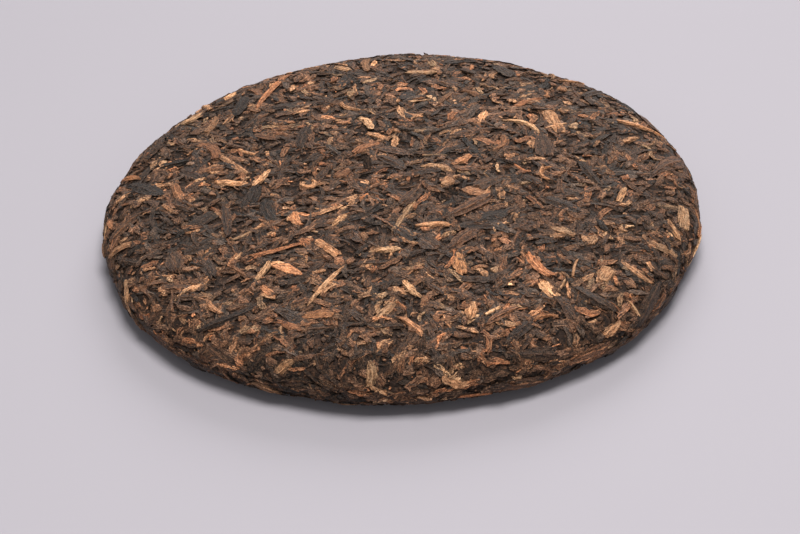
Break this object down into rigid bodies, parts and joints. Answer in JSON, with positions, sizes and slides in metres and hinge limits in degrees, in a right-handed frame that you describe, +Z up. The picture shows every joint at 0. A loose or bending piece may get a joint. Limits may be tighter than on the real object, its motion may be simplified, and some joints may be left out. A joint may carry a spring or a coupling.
{
  "type": "pressed tea cake",
  "caption": "Round disc of compressed dark tea leaf with a low domed front, a rounded uneven rim and a hollow in the back, resting on a flat ring.",
  "frame": {"origin": "under the middle of the cake, on the plane it rests on", "axes": "+Z points up out of the front face; X and Y lie in the resting plane"},
  "size_m": [0.2018, 0.1992, 0.0248],
  "materials": {
    "pressed_leaf": "dry, matt, compressed tea leaf"
  },
  "bodies": {
    "root": {"tea_cake": "pressed_leaf"}
  },
  "joints": []
}
